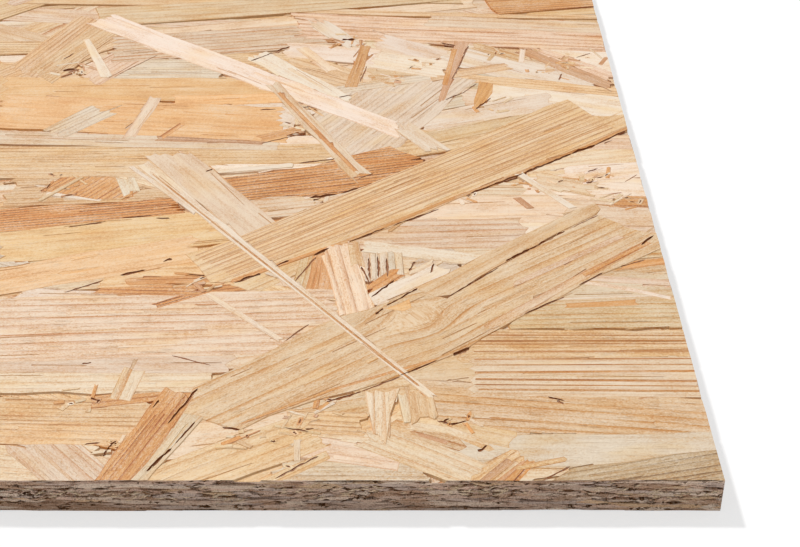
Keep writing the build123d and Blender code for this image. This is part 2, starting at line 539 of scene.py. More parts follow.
# Gaps that stayed open beside them
for gap in (
    (-50, 122, -34, 133.6, 0.9), (-34, 133.6, -19, 145.3, 1.1), (-19, 145.5, -11, 151, 1.3),
    (-11, 151, -1, 160, 0.7), (-84, 96, -74, 103.3, 1.0), (-72, 104.4, -59, 113.6, 0.8),
    (-93, 89.5, -89, 93, 1.6), (-113, 76.4, -106.5, 80.6, 1.1), (-103, 84, -99.5, 86.8, 0.9),
    (-97.3, 77, -92.3, 88.8, 0.6), (-42, 86.5, -33, 94.5, 1.2), (-33, 94.5, -25, 101.8, 0.9),
    (-58, 69.5, -44, 83.5, 0.5), (-24, 102.5, -15, 110, 0.5), (-57, 45, -53, 48.2, 1.6),
    (-87, 27, -79, 31, 0.9), (-79, 31, -70, 36.6, 0.5), (-70, 37, -61, 43, 0.5),
    (-39, 62, -28, 70, 0.5), (-24, 75, -17, 81, 0.6), (-12, 84, -5, 87.5, 0.5),
    (-5, 94.5, -1, 99.5, 1.2), (-35.5, 29, -32, 27.6, 1.2), (-61.6, 20.2, -58.8, 19.4, 0.8),
    (-58.4, 18.8, -54.6, 20.4, 1.5),
    (-52.6, 9.6, -50.8, 11.6, 1.2), (-33.6, 27.6, -32.4, 26.4, 0.7),
    (-110, 18, -106, 17, 0.9), (-125, 3, -120.6, 10.5, 1.1), (-120, 12, -116.4, 19.8, 0.6),
    (-122.5, 19, -117.3, 32, 0.8), (-97, 0.6, -88, 8, 0.7), (-39.5, 0, -33, 4.6, 0.6),
    (-77.4, 69.6, -71.6, 77.4, 0.8), (-73.4, 65.8, -65.5, 73.6, 0.8), (-76, 62, -74.4, 64.6, 0.9),
    (-78.4, 88, -77.8, 78, 0.7), (-76, 89, -75.6, 79, 0.8), (-73.6, 88, -73.2, 79, 0.7),
    (-67.6, 82, -66, 86.4, 1.2), (-62, 81, -61, 85.5, 0.8), (-80.2, 84, -78, 76.5, 0.8),
    (-156, 72, -147, 77.6, 0.8), (-143, 80, -136.8, 82.6, 1.3), (-132.6, 86.6, -130.6, 87.8, 1.3),
    (-161, 103.8, -151, 107, 0.9), (-147, 108.8, -139, 110, 0.9), (-137.6, 108.6, -134, 108.4, 1.1),
    (-95.6, 119.8, -88, 121.6, 1.3), (-87, 122, -82, 125, 0.8), (-94.4, 118.2, -92.6, 119.4, 1.4),
    (-100, 139.8, -89.4, 142.4, 0.9), (-67, 141.6, -62.6, 142.4, 1.1), (-82, 130.4, -77.8, 133.4, 0.6),
    (-126.6, 134.6, -125, 136, 1.5), (-112, 152, -99, 158.6, 0.6), (-114, 174, -109, 174.6, 0.8),
    (-105.6, 165.8, -103.8, 165.2, 1.0), (-46.6, 222, -50.4, 205, 0.8), (-50.4, 205, -53, 196, 0.6),
    (-55.6, 181, -50, 186, 0.8), (-50, 185.6, -45, 193, 0.7), (-46.4, 174, -41, 182.4, 0.9),
    (-120, 209.6, -114, 215, 0.7), (-115, 214.4, -107.6, 221.6, 1.3), (-90, 226.4, -85, 227.4, 2.2),
    (-83, 194, -81, 206, 0.5), (-89.4, 182.6, -85.4, 184.6, 1.0), (-162.4, 200, -152, 214.4, 0.4),
    (-181.4, 202, -176.6, 204.4, 2.0), (-183, 211, -180.4, 216, 0.7), (-10.6, 212.6, -5.6, 216, 0.6),
    (-18, 195.4, -16.8, 200, 0.6), (-56, 224.4, -51, 221.8, 1.2), (-142, 28.6, -139.6, 27.4, 0.9),
    (-135.4, 8.6, -133.6, 13, 0.8), (-140, 12, -136.8, 12.6, 0.8), (-126.8, 24.6, -125.8, 27.6, 0.7),
    (-146, 41.6, -144, 42.2, 0.7), (-125, 45, -115, 41, 0.4), (-98, 51, -92.6, 58, 0.4),
    (-8.4, 152, -5.6, 154, 0.6), (-13, 131, -11, 131.8, 0.7), (-5, 128.8, -1, 133, 0.3),
):
    crevice(*gap)


def inside(points, outline):
    """For each point, whether it lies inside the closed outline."""
    x, y = points[:, :1], points[:, 1:]
    ax, ay = outline[:, 0], outline[:, 1]
    bx, by = np.roll(ax, -1), np.roll(ay, -1)
    spans = (ay > y) != (by > y)
    rise = np.where(by == ay, 1.0, by - ay)
    meets = x < ax + (y - ay) * (bx - ax) / rise
    return (spans & meets).sum(axis=1) % 2 == 1


def distance(points, outline):
    """For each point, how far it is from the closed outline."""
    a = outline
    d = np.roll(outline, -1, axis=0) - a
    rel = points[:, None, :] - a[None]
    t = ((rel * d).sum(axis=2) / (d * d).sum(axis=1)).clip(0, 1)
    return np.linalg.norm(rel - t[..., None] * d, axis=2).min(axis=1)


def area_of(outline):
    """The area that a closed outline encloses."""
    x, y = outline[:, 0], outline[:, 1]
    return 0.5 * abs(np.dot(x - x[0], np.roll(y, -1)) - np.dot(y, np.roll(x - x[0], -1)))


def take_wood(one, host, shade):
    """Gives a splinter the wood of the strand that it came from, in its own shade."""
    one["colour"] = [min(c * s, 1) for c, s in zip(host["colour"], shade)]
    one["line"], one["spacing"] = host["line"], host["spacing"]


def frays(host, chance):
    """Splinters that stick out from under a strand's sides, nearly along its grain."""
    outline = host["outline"]
    if area_of(outline) < 50:
        return []
    ahead = np.roll(outline, -1, axis=0)
    run = ahead - outline
    long = np.abs(run @ host["along"]) > 0.7 * np.linalg.norm(run, axis=1)
    made = []
    for a, b in zip(outline[long], ahead[long]):
        for _ in range(chance.poisson(np.linalg.norm(b - a) / 26)):
            at = a + (b - a) * chance.uniform(0, 1)
            along = host["along"] + host["across"] * chance.normal(0, 0.12)
            half = along * chance.uniform(1.5, 6)
            one = strand(at - half, at + half, chance.uniform(0.4, 1.3), "tan", chance,
                         end_width=0.3, step=4, wander=0.1, ragged=0.4, teeth=1, reach=0.08)
            shade = chance.choice([1.04, 0.94, 0.8])
            take_wood(one, host, (shade, shade ** 1.5, shade ** 2))
            one["sink"] = host["sink"] + chance.uniform(0.02, 0.2)
            made.append(one)
    return made


# Each form of sliver: its shade of the strand's colour, and how much lower it lies. A lifted
# sliver is painted a little paler, a painted highlight where it stands up; a split lies lower
# and is painted dark brown, painted shade inside the crack.
sliver_forms = {
    "lifted": ((1.04, 1.04, 1.03), -0.05),
    "peeled": ((0.97, 0.90, 0.80), 0.05),
    "split": ((0.80, 0.62, 0.42), 0.09),
}


def slivers(host, chance):
    """Thin splinters that lifted off a strand, peeled out of it or split it along its grain."""
    rel = host["outline"] - host["start"]
    u, v = rel @ host["along"], rel @ host["across"]
    area = area_of(host["outline"])
    made = []
    for _ in range(int(area / 130 + chance.uniform(0, 2)) if area > 50 else 0):
        at = host["start"] + host["along"] * chance.uniform(u.min(), u.max())
        at = at + host["across"] * chance.uniform(v.min(), v.max())
        turn = chance.normal(0, 0.03)
        along = host["along"] + host["across"] * turn
        length = chance.uniform(5, 24)
        ends = np.array([at - along * length / 2, at + along * length / 2])
        if not inside(ends, host["outline"]).all():
            continue
        form = chance.choice(list(sliver_forms), p=[0.35, 0.35, 0.3])
        # Lifted slivers get a painted highlight and splits a painted shade
        shade, lower = sliver_forms[form]
        width = 0.24 if form == "split" else chance.uniform(0.4, 1.6)
        one = strand(ends[0], ends[1], width, "tan", chance, end_width=width * 0.5, step=6,
                     wander=0.12, ragged=0.8, teeth=1, reach=0.1)
        one["start"], one["along"], one["across"] = host["start"], host["along"], host["across"]
        one["knot"] = (*(host["knot"][:2] - host["grain"] + one["grain"]), 0)
        take_wood(one, host, shade)
        one["strength"] = host["strength"]
        one["sink"] = max(host["sink"] + lower, 0)
        made.append(one)
    return made


# The later a strand fell, the nearer it lies to the platen
for rank, one in enumerate(laid):
    if not one["void"]:
        one["sink"] = 0.01 + 0.20 * (1 - rank / len(laid))
detail_chance = np.random.default_rng(5)
laid = [part for one in laid
        for part in ([one] if one["void"] else
                     frays(one, detail_chance) + [one] + slivers(one, detail_chance))]


def scatter(laid, low, high, reach, deepest, cell=2.5, coarse=1.0):
    """Strands thrown under those laid, uppermost first, until the whole face is covered."""
    cells = np.ceil((high - low) / cell).astype(int)
    bare = np.ones((cells[1], cells[0]), bool)

    def cover(one):
        first = np.maximum(((one["outline"].min(axis=0) - low) / cell).astype(int), 0)
        last = np.minimum(((one["outline"].max(axis=0) - low) / cell).astype(int) + 1, cells)
        if (last <= first).any():
            return
        gx, gy = np.meshgrid(np.arange(first[0], last[0]), np.arange(first[1], last[1]))
        at = low + (np.stack([gx.ravel(), gy.ravel()], axis=1) + 0.5) * cell
        under = inside(at, one["outline"]).reshape(gx.shape)
        bare[first[1]:last[1], first[0]:last[0]] &= ~under

    for one in laid:
        cover(one)
    places = np.array([(u, v) for u in np.linspace(-0.46, 0.46, 9) for v in (-0.35, 0, 0.35)])
    thrown = []
    for need in (0.8, 0.55, 0.36, 0.22, 0.12, 0.05, 0.0):
        open_cells = np.flatnonzero(bare)
        spread = 1 if need < 0.06 else 90 if need > 0.3 else 30
        for cell_number in mat_chance.permutation(open_cells)[:max(len(open_cells) // spread, 1)]:
            row, column = divmod(int(cell_number), cells[0])
            if not bare[row, column]:
                continue
            middle = low + (np.array([column, row]) + 0.5) * cell
            length, width, along, centre = random_place(middle, coarse)
            spots = centre + places[:, :1] * length * along
            spots = spots + places[:, 1:] * width * left_of(along)
            spots = ((spots - low) / cell).astype(int)
            seen = ((spots >= 0) & (spots < cells)).all(axis=1)
            spots = spots[seen]
            if need and bare[spots[:, 1], spots[:, 0]].sum() < need * len(spots):
                continue
            depth = 1 - min(need / 0.8, 1)
            one = random_strand(length, width, along, centre, reach,
                                deepest * (0.05 + 0.95 * depth ** 1.5) * mat_chance.uniform(0.8, 1.1))
            cover(one)
            thrown.append(one)
    return thrown[::-1]


def survey(points, strands, void_depth=None):
    """The pressed mat at each point: which strand is on top there, whether the point is on
    that strand's side and, where a depth is given for bare spots, its height."""
    height = np.full(len(points), -(void_depth or 0.0))
    owner = np.full(len(points), -1)
    side = np.zeros(len(points))
    low, span = points.min(axis=0), np.ptp(points, axis=0)
    cell = min(12.0, span.min() / 3)
    column = ((points[:, 0] - low[0]) / cell).astype(int)
    row = ((points[:, 1] - low[1]) / cell).astype(int)
    columns, rows = column.max() + 1, row.max() + 1
    key = row * columns + column
    order = np.argsort(key, kind="stable")
    starts = np.searchsorted(key[order], np.arange(columns * rows + 1))
    for index, one in enumerate(strands):
        first = ((one["foot"].min(axis=0) - low) / cell).astype(int)
        last = ((one["foot"].max(axis=0) - low) / cell).astype(int)
        c0, c1 = max(first[0], 0), min(last[0], columns - 1)
        r0, r1 = max(first[1], 0), min(last[1], rows - 1)
        if c0 > c1 or r0 > r1:
            continue
        near = np.concatenate([
            order[starts[r * columns + c0]:starts[r * columns + c1 + 1]]
            for r in range(r0, r1 + 1)
        ])
        if not len(near):
            continue
        at = points[near]
        off = (at - one["start"]) @ one["across"]
        reached = (one["foot"] - one["start"]) @ one["across"]
        beside = (off >= reached.min()) & (off <= reached.max())
        near, at, off = near[beside], at[beside], off[beside]
        covered = inside(at, one["foot"])
        near, at, off = near[covered], at[covered], off[covered]
        if not len(near):
            continue
        body = inside(at, one["outline"])
        owner[near] = index
        side[near] = np.where(body, 0.0, 1.0)
        if void_depth is None:
            continue
        top = np.minimum(-one["sink"] + one["tilt"] * off, 0.0)
        down = np.zeros(len(at))
        if not body.all():
            rim = ~body
            from_body = distance(at[rim], one["outline"])
            down[rim] = from_body / (from_body + distance(at[rim], one["foot"]) + 1e-9)
        height[near] = top + (height[near] - top) * down
    return owner, side, height


def within(points, sides):
    """Whether each point is inside the sawn outline, given as its front, right, back and left."""
    front, right, back, left = sides
    x, y = points[:, 0], points[:, 1]
    return (
        (y > np.interp(x, front[:, 0], front[:, 1])) & (y < np.interp(x, back[:, 0], back[:, 1]))
        & (x < np.interp(y, right[:, 1], right[:, 0])) & (x > np.interp(y, left[:, 1], left[:, 0]))
    )


outside = -9


def label_of(points, faces, strands, sides):
    """The surface that each triangle lies on: a strand's top, its side, or outside the sheet."""
    middle = points[faces].mean(axis=1)
    owner, side, _ = survey(middle, strands)
    label = owner * 2 + side.astype(int)
    label[~within(middle, sides)] = outside
    return label


def triangulate(points, edges, snap):
    """The points and triangles of a plan in which the given edges stay edges."""
    found = delaunay_2d_cdt([tuple(p) for p in points], edges, [], 0, snap, False)
    return np.array([tuple(p) for p in found[0]]), np.array([tuple(f) for f in found[2]])


def edges_of(faces):
    """The three edges of every triangle, each as its two points' numbers, lower one first."""
    return np.sort(np.concatenate([faces[:, [0, 1]], faces[:, [1, 2]], faces[:, [2, 0]]]), axis=1)


def cut_lines(strands, sides):
    """Every crease that shows: the plan is cut along all outlines, and lines between two
    triangles of one surface are left out."""
    front, right, back, left = sides
    ring = np.concatenate([front, right[1:], back[::-1][1:], left[::-1][1:-1]])
    corners = [ring] + [s[part] for s in strands for part in ("outline", "foot")]
    sizes = np.array([len(c) for c in corners])
    starts = np.concatenate([[0], np.cumsum(sizes)[:-1]])
    edges = [
        (int(s + i), int(s + (i + 1) % n)) for s, n in zip(starts, sizes) for i in range(n)
    ]
    points, faces = triangulate(np.concatenate(corners), edges, 1e-4)
    label = label_of(points, faces, strands, sides)
    pairs = edges_of(faces)
    labels = np.tile(label, 3)
    code = pairs[:, 0].astype(np.int64) * len(points) + pairs[:, 1]
    order = np.argsort(code, kind="stable")
    code, labels, pairs = code[order], labels[order], pairs[order]
    twin = np.flatnonzero(code[1:] == code[:-1])
    shown = labels[twin] != labels[twin + 1]
    return points, pairs[twin[shown]]


def straighten(points, edges):
    """Drops points in the middle of a straight edge, left where hidden outlines crossed it."""
    links = {}
    for a, b in edges.tolist():
        links.setdefault(a, set()).add(b)
        links.setdefault(b, set()).add(a)
    for v in list(links):
        if len(links[v]) != 2:
            continue
        a, b = links[v]
        if b in links[a]:
            continue
        span = points[b] - points[a]
        off = points[v] - points[a]
        if abs(span[0] * off[1] - span[1] * off[0]) < 0.003 * np.hypot(*span):
            links[a].discard(v)
            links[b].discard(v)
            links[a].add(b)
            links[b].add(a)
            del links[v]
    kept = sorted(links)
    number = {v: i for i, v in enumerate(kept)}
    lines = [(number[a], number[b]) for a in kept for b in links[a] if a < b]
    return points[kept], lines


def press(strands, sides, void_depth=1.6):
    """The pressed face as one sheet of triangles, with the label of each."""
    points, faces = triangulate(*straighten(*cut_lines(strands, sides)), 1e-5)
    label = label_of(points, faces, strands, sides)
    faces, label = faces[label > outside], label[label > outside]
    height = survey(points, strands, void_depth)[2]
    return points, height, faces, label


def rim_of(faces):
    """The points on the open rim of a sheet of triangles."""
    pairs = edges_of(faces)
    code = pairs[:, 0].astype(np.int64) * (faces.max() + 1) + pairs[:, 1]
    _, first, count = np.unique(code, return_index=True, return_counts=True)
    return np.unique(pairs[first[count == 1]])


def add_pieces(name, points, faces, flat, label, strands, material):
    """New pieces with these triangles, split where there are too many for one, and dressed with
    the strands' colours and rings; flat holds the points in the plane of the strands' grain."""
    made = []
    share = math.ceil(len(faces) / most_triangles)
    order = np.argsort(points[faces].mean(axis=1)[:, 0], kind="stable")
    for number, chosen in enumerate(np.array_split(order, share)):
        used, part = np.unique(faces[chosen], return_inverse=True)
        part = part.reshape(-1, 3)
        title = name if share == 1 else f"{name}_{number + 1}"
        mesh = bpy.data.meshes.new(title)
        mesh.vertices.add(len(used))
        mesh.vertices.foreach_set("co", (points[used] * MM).astype(np.float32).ravel())
        mesh.loops.add(part.size)
        mesh.loops.foreach_set("vertex_index", part.astype(np.int32).ravel())
        mesh.polygons.add(len(part))
        mesh.polygons.foreach_set("loop_start", np.arange(0, part.size, 3, dtype=np.int32))
        mesh.polygons.foreach_set("use_smooth", np.zeros(len(part), bool))
        mesh.update(calc_edges=True)
        dress(mesh, flat[used], label[chosen], part, strands)
        piece = bpy.data.objects.new(title, mesh)
        bpy.context.collection.objects.link(piece)
        mesh.materials.append(material)
        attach(piece, "root")
        made.append(piece)
    return made


def dress(mesh, flat, label, faces, strands):
    """Gives each triangle its strand's colours and rings, and each corner its grain place."""
    owner = label // 2

    def each(key, bare):
        return np.array([s[key] for s in strands] + [bare], dtype=float)

    # Where no strand covers the mat, the bare hole takes dark browns: painted shade deep in the hole
    for name, values in (
        ("strand_colour", each("colour", linear("#6B4A2C"))),
        ("ring_colour", each("line", linear("#4A2F1A"))),
        ("ring_figure", np.column_stack([
            each("strength", 0), each("spacing", 2), np.arange(len(strands) + 1) * 0.37,
        ])),
        ("knot_place", each("knot", (*no_knot, 0))),
    ):
        layer = mesh.attributes.new(name, "FLOAT_VECTOR", "FACE")
        layer.data.foreach_set("vector", values[owner].astype(np.float32).ravel())
    side = mesh.attributes.new("strand_side", "FLOAT", "FACE")
    side.data.foreach_set("value", (label % 2).astype(np.float32))
    corner_owner = np.repeat(owner, 3)
    rel = flat[faces.ravel()] - each("start", (0, 0))[corner_owner]
    u = (rel * each("along", (1, 0))[corner_owner]).sum(axis=1)
    v = (rel * each("across", (0, 1))[corner_owner]).sum(axis=1)
    grain = np.stack([u, v], axis=1) + each("grain", (0, 0))[corner_owner]
    places = mesh.uv_layers.new(name="strand_grain")
    places.uv.foreach_set("vector", grain.astype(np.float32).ravel())


deepest_tear = 0.5


def sawn_line(low, high, inward, chance):
    """A sawn edge seen from above: straight, with tiny tears where strands' ends broke out."""
    at = [low]
    while at[-1] < high - 9:
        at.append(at[-1] + chance.uniform(2.5, 8))
    at.append(high)
    at = np.array(at)
    torn = chance.gamma(1.2, 0.07, len(at)).clip(0, deepest_tear)
    torn[[0, -1]] = 0
    return at, inward * torn


def sawn_outline(low, high, chance):
    """The sheet's outline as its front, right, back and left sides, each a row of points."""
    x, front = sawn_line(low[0], high[0], 1, chance)
    back_x, back = sawn_line(low[0], high[0], -1, chance)
    y, right = sawn_line(low[1], high[1], -1, chance)
    left_y, left = sawn_line(low[1], high[1], 1, chance)
    return (
        np.column_stack([x, low[1] + front]),
        np.column_stack([high[0] + right, y]),
        np.column_stack([back_x, high[1] + back]),
        np.column_stack([low[0] + left, left_y]),
    )


def node(tree, kind, sockets, out=0, **settings):
    """Adds a shader node with its settings, and its sockets' values or links; gives its output."""
    made = tree.nodes.new("ShaderNode" + kind)
    for name, value in settings.items():
        setattr(made, name, value)
    for socket, value in sockets.items():
        if isinstance(value, bpy.types.NodeSocket):
            tree.links.new(value, made.inputs[socket])
        else:
            made.inputs[socket].default_value = value
    return made.outputs[out] if len(made.outputs) else made


def emptied(owner):
    """The node tree of a material or world, with nothing in it yet."""
    owner.use_nodes = True
    owner.node_tree.nodes.clear()
    return owner.node_tree


def streaks(tree, grain, along_mm, across_mm, detail=2.0, roughness=0.5):
    """Noise drawn out along the grain: one streak is about this long and wide."""
    drawn = node(tree, "VectorMath", {0: grain, 1: (1 / along_mm, 1 / across_mm, 0)},
                 operation="MULTIPLY")
    return node(tree, "TexNoise", {"Vector": drawn, "Scale": 1.0, "Detail": detail,
                                   "Roughness": roughness}, noise_dimensions="2D")


def toned(tree, wood, tone, dark_tint, pale_tint, pale_share, pale_gain):
    """Wood that turns darker where the tone is under 0 and paler where it is over 0; gives it
    and the dark wood."""
    dark = node(tree, "Mix", {0: 1.0, 6: wood, 7: (*linear(dark_tint), 1)}, out=2,
                data_type="RGBA", blend_type="MULTIPLY")
    pale = node(tree, "Mix", {0: pale_share, 6: wood, 7: (*linear(pale_tint), 1)}, out=2,
                data_type="RGBA")
    less = node(tree, "Math", {0: tone, 1: -0.75}, operation="MULTIPLY", use_clamp=True)
    more = node(tree, "Math", {0: tone, 1: pale_gain}, operation="MULTIPLY", use_clamp=True)
    wood = node(tree, "Mix", {0: less, 6: wood, 7: dark}, out=2, data_type="RGBA")
    return node(tree, "Mix", {0: more, 6: wood, 7: pale}, out=2, data_type="RGBA"), dark


def pressed_face_material():
    """Pressed, unsanded softwood with a thin film of cured resin: satin, speckled with short
    fibres, with orange latewood lines where the rings were cut."""
    material = bpy.data.materials.new("pressed_softwood_strands")
    tree = emptied(material)
    grain = node(tree, "UVMap", {}, uv_map="strand_grain")
    figure = node(tree, "Attribute", {}, out="Vector", attribute_name="ring_figure")
    strength, spacing, number = node(tree, "SeparateXYZ", {0: figure}).node.outputs

    # The grain runs round a knot, and within about 9 mm of it the rings crowd together
    knot = node(tree, "Attribute", {}, out="Vector", attribute_name="knot_place")
    gap = node(tree, "VectorMath", {0: grain, 1: knot}, out="Value", operation="DISTANCE")
    gap = node(tree, "Math", {0: gap, 1: 9.0}, operation="DIVIDE")
    gap = node(tree, "Math", {0: gap, 1: 2.0}, operation="POWER")
    near = node(tree, "Math", {0: gap, 1: -1.0}, operation="MULTIPLY")
    near = node(tree, "Math", {0: near}, operation="EXPONENT")
    away = node(tree, "VectorMath", {0: grain, 1: knot}, operation="SUBTRACT")
    away = node(tree, "VectorMath", {0: away, 1: (0, 1, 0)}, operation="MULTIPLY")
    away = node(tree, "VectorMath", {0: away, "Scale": near}, operation="SCALE")
    grain = node(tree, "VectorMath", {0: grain, 1: away}, operation="SUBTRACT")
    across = node(tree, "SeparateXYZ", {0: grain}, out=1)

    fine = streaks(tree, grain, 1.2, 0.42, 3, 0.8)
    speck = streaks(tree, grain, 0.55, 0.32, 1, 0.7)
    medium = streaks(tree, grain, 26, 1.1)
    patch = streaks(tree, grain, 16, 6, 3)

    # Growth rings: each darkens slowly and ends sharply, some are faint, all fade here and there
    bent = node(tree, "Math", {0: streaks(tree, grain, 130, 18, 1), 1: 5.0, 2: across},
                operation="MULTIPLY_ADD")
    turn = node(tree, "Math", {0: bent, 1: spacing}, operation="DIVIDE")
    within_ring = node(tree, "Math", {0: turn}, operation="FRACT")
    latewood = node(tree, "Math", {0: within_ring, 1: 4.5}, operation="POWER")
    whole = node(tree, "Math", {0: turn}, operation="FLOOR")
    which = node(tree, "Math", {0: whole, 1: number}, operation="ADD")
    varied = node(tree, "TexWhiteNoise", {"W": which}, noise_dimensions="1D")
    varied = node(tree, "Math", {0: varied, 1: 0.9, 2: 0.5}, operation="MULTIPLY_ADD")
    fading = node(tree, "Math", {0: streaks(tree, grain, 40, 3.5), 1: 2.6, 2: -0.45},
                  operation="MULTIPLY_ADD", use_clamp=True)
    ring = node(tree, "Math", {0: latewood, 1: varied}, operation="MULTIPLY")
    ring = node(tree, "Math", {0: ring, 1: fading}, operation="MULTIPLY")
    ring = node(tree, "Math", {0: ring, 1: strength}, operation="MULTIPLY", use_clamp=True)
    plain = node(tree, "Attribute", {}, out="Vector", attribute_name="strand_colour")
    line = node(tree, "Attribute", {}, out="Vector", attribute_name="ring_colour")
    wood = node(tree, "Mix", {0: ring, 6: plain, 7: line}, out=2, data_type="RGBA")

    # Streaks and patches where the wood is more amber or paler
    streaky = node(tree, "Math", {0: strength, 1: 0.45, 2: 0.65}, operation="MULTIPLY_ADD")
    tone = node(tree, "Math", {0: medium, 1: 1.6, 2: -3.4}, operation="MULTIPLY_ADD")
    tone = node(tree, "Math", {0: speck, 1: 1.8, 2: tone}, operation="MULTIPLY_ADD")
    tone = node(tree, "Math", {0: fine, 1: 3.4, 2: tone}, operation="MULTIPLY_ADD")
    tone = node(tree, "Math", {0: tone, 1: streaky}, operation="MULTIPLY")
    patch = node(tree, "Math", {0: patch, 1: 2.2, 2: -1.1}, operation="MULTIPLY_ADD")
    tone = node(tree, "Math", {0: tone, 1: patch}, operation="ADD")
    wood, amber = toned(tree, wood, tone, "#E6C597", "#F7EAD6", 0.40, 0.85)
    glow = node(tree, "Math", {0: streaks(tree, grain, 22, 6, 3), 1: 4.0, 2: -2.0},
                operation="MULTIPLY_ADD", use_clamp=True)
    glow = node(tree, "Math", {0: glow, 1: 0.6}, operation="MULTIPLY")
    wood = node(tree, "Mix", {0: glow, 6: wood, 7: (*linear("#FFEFCB"), 1)}, out=2,
                data_type="RGBA", blend_type="MULTIPLY")

    # Short splits and resin lines, and the sides of the strands, which are browner: partly their
    # glue-soaked fibre, partly painted shade along every strand's bevelled edge
    check = node(tree, "Math", {0: streaks(tree, grain, 7, 0.2, 1), 1: 9.0, 2: -6.2},
                 operation="MULTIPLY_ADD", use_clamp=True)
    check = node(tree, "Math", {0: check, 1: streaky}, operation="MULTIPLY")
    stain = node(tree, "Math", {0: check, 1: 0.42}, operation="MULTIPLY", use_clamp=True)
    wood = node(tree, "Mix", {0: stain, 6: wood, 7: (*linear("#B67C45"), 1)}, out=2,
                data_type="RGBA")
    # Each bevelled side is half mixed to the darker amber wood, in part a painted shade
    side = node(tree, "Attribute", {}, out="Fac", attribute_name="strand_side")
    side = node(tree, "Math", {0: side, 1: 0.5}, operation="MULTIPLY")
    wood = node(tree, "Mix", {0: side, 6: wood, 7: amber}, out=2, data_type="RGBA")

    # Fibres stand up a little, rings and splits lie lower, and the gloss varies in long streaks
    relief = node(tree, "Math", {0: medium, 1: 0.8, 2: fine}, operation="MULTIPLY_ADD")
    relief = node(tree, "Math", {0: speck, 1: 0.7, 2: relief}, operation="MULTIPLY_ADD")
    relief = node(tree, "Math", {0: ring, 1: -0.5, 2: relief}, operation="MULTIPLY_ADD")
    relief = node(tree, "Math", {0: check, 1: -0.4, 2: relief}, operation="MULTIPLY_ADD")
    normal = node(tree, "Bump", {"Height": relief, "Strength": 1.0, "Distance": 0.14 * MM})
    gloss = node(tree, "Math", {0: medium, 1: 0.30, 2: 0.38}, operation="MULTIPLY_ADD")
    shader = node(tree, "BsdfPrincipled", {
        "Base Color": wood, "Roughness": gloss, "Normal": normal,
    })
    node(tree, "OutputMaterial", {"Surface": shader})
    return material


face_material = pressed_face_material()
low = np.array([-half_length, -half_width])
high = np.array([half_length, half_width])
edge_chance = np.random.default_rng(11)
strands = scatter(laid, low, high, 0.3, 0.8) + laid
top_plan, top_height, top_faces, label = press(strands, sawn_outline(low, high, edge_chance))
top_points = np.column_stack([top_plan, sheet_high[2] / MM + top_height])
top_pieces = add_pieces(
    "top_strands", top_points, top_faces, top_plan, label, strands, face_material,
)
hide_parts("strand_board_sheet")

# The underside
# The same mat, as the lower platen left it. It lies on the floor, unseen, so it is plainer than
# the top: wider strands, closer together in height.
strands = scatter([], low, high, 0.3, 0.2, cell=6.0, coarse=1.7)
under_plan, under_height, under_faces, label = press(
    strands, sawn_outline(low, high, edge_chance), void_depth=0.3,
)
under_points = np.column_stack([under_plan, -under_height])
add_pieces(
    "underside_strands", under_points, under_faces[:, ::-1], under_plan, label, strands,
    face_material,
)

# The sawn edges
# A saw cut through the mat: strands of the two face layers run along the sheet and those of
# the core across it, so each edge shows long flat strands and cut end grain in some sixteen
# layers, with gaps where they bridge, which lie lower and are painted dark brown as painted
# shade. The dust-rubbed cut is greyer than the faces.
sheet_height = sheet_high[2] / MM
layer_height = 0.56
layers = round(sheet_height / layer_height)
edge_reach = 0.05
hole_margin = 0.4
finely_drawn = 330
edge_colours = (
    "#D6B5A0", "#CDAC96", "#DFC4AE", "#C09A7E", "#D3AF8A", "#C8AFA0", "#B58E72", "#E3CBB6",
)
# Holes and gaps in the edge are painted dark brown: painted shade inside them
hole_shade_colour = linear("#83562A")
torn_colour = [c * 1.25 for c in linear("#E2C9A9")]


def coarser(at, near, factor):
    """One, or the factor far from the place called near, where strands are drawn coarser."""
    return 1 if abs(at - near) < finely_drawn else factor


def cut_strand(at, size, layer, count, end_grain, chance):
    """A strand of one layer cut by the saw, as a flat lens with its end grain or its side."""
    middle = (layer + 0.5) * layer_height + chance.normal(0, 0.2)
    thick = layer_height * chance.uniform(0.7, 1.9)
    slope = chance.normal(0, 0.35)
    place = np.linspace(0, 1, count + 2)
    bulge = np.minimum(np.minimum(place, 1 - place) * size / 2, 1) ** 0.6 * thick / 2
    wave = np.interp(place, np.linspace(0, 1, 4), chance.normal(0, 0.16, 4))
    spine = middle + (wave + slope * (place - 0.5))
    rough = chance.normal(0, 0.06, (2, count + 2))
    lower = np.stack([at + place * size, spine - bulge + rough[0]], axis=1)
    upper = np.stack([at + place * size, spine + bulge + rough[1]], axis=1)
    outline = np.concatenate([lower, upper[::-1][1:-1]])
    turn = chance.uniform(0.9, 2.2) if end_grain else chance.normal(0, 0.05)
    one = as_strand(outline, outline[0], heading(turn), "grey", chance,
                    chance.gamma(1.5, 0.10), edge_reach)
    shade = chance.normal(1.26, 0.10)
    one["colour"] = [c * shade for c in linear(chance.choice(edge_colours))]
    one["line"] = [c * 0.4 for c in one["colour"]]
    one["strength"] = 0.2
    one["spacing"] = chance.uniform(0.35, 0.9)
    return one


def hole(at, layer, chance):
    """A gap that a strand bridged, lying lower and painted dark brown as painted shade, or none
    where it would break out of the edge.
    """
    size, thick = chance.gamma(1.6, 0.7) + 0.4, chance.gamma(2.6, 0.09) + 0.05
    z = (layer + chance.uniform(0, 1)) * layer_height
    if not hole_margin < z < sheet_height - hole_margin:
        return []
    wave = chance.normal(0, 0.14, 4)
    outline = np.array([
        (at, z), (at + size * 0.3, z - thick / 2 + wave[0]),
        (at + size * 0.7, z - thick / 3 + wave[3]), (at + size, z + wave[2]),
        (at + size * 0.5, z + thick / 2 + wave[1] + wave[3] / 2),
    ])
    one = as_strand(outline, outline[0], (1, 0), "void", chance, chance.uniform(0.15, 0.7),
                    edge_reach)
    one["colour"] = hole_shade_colour
    return [one]


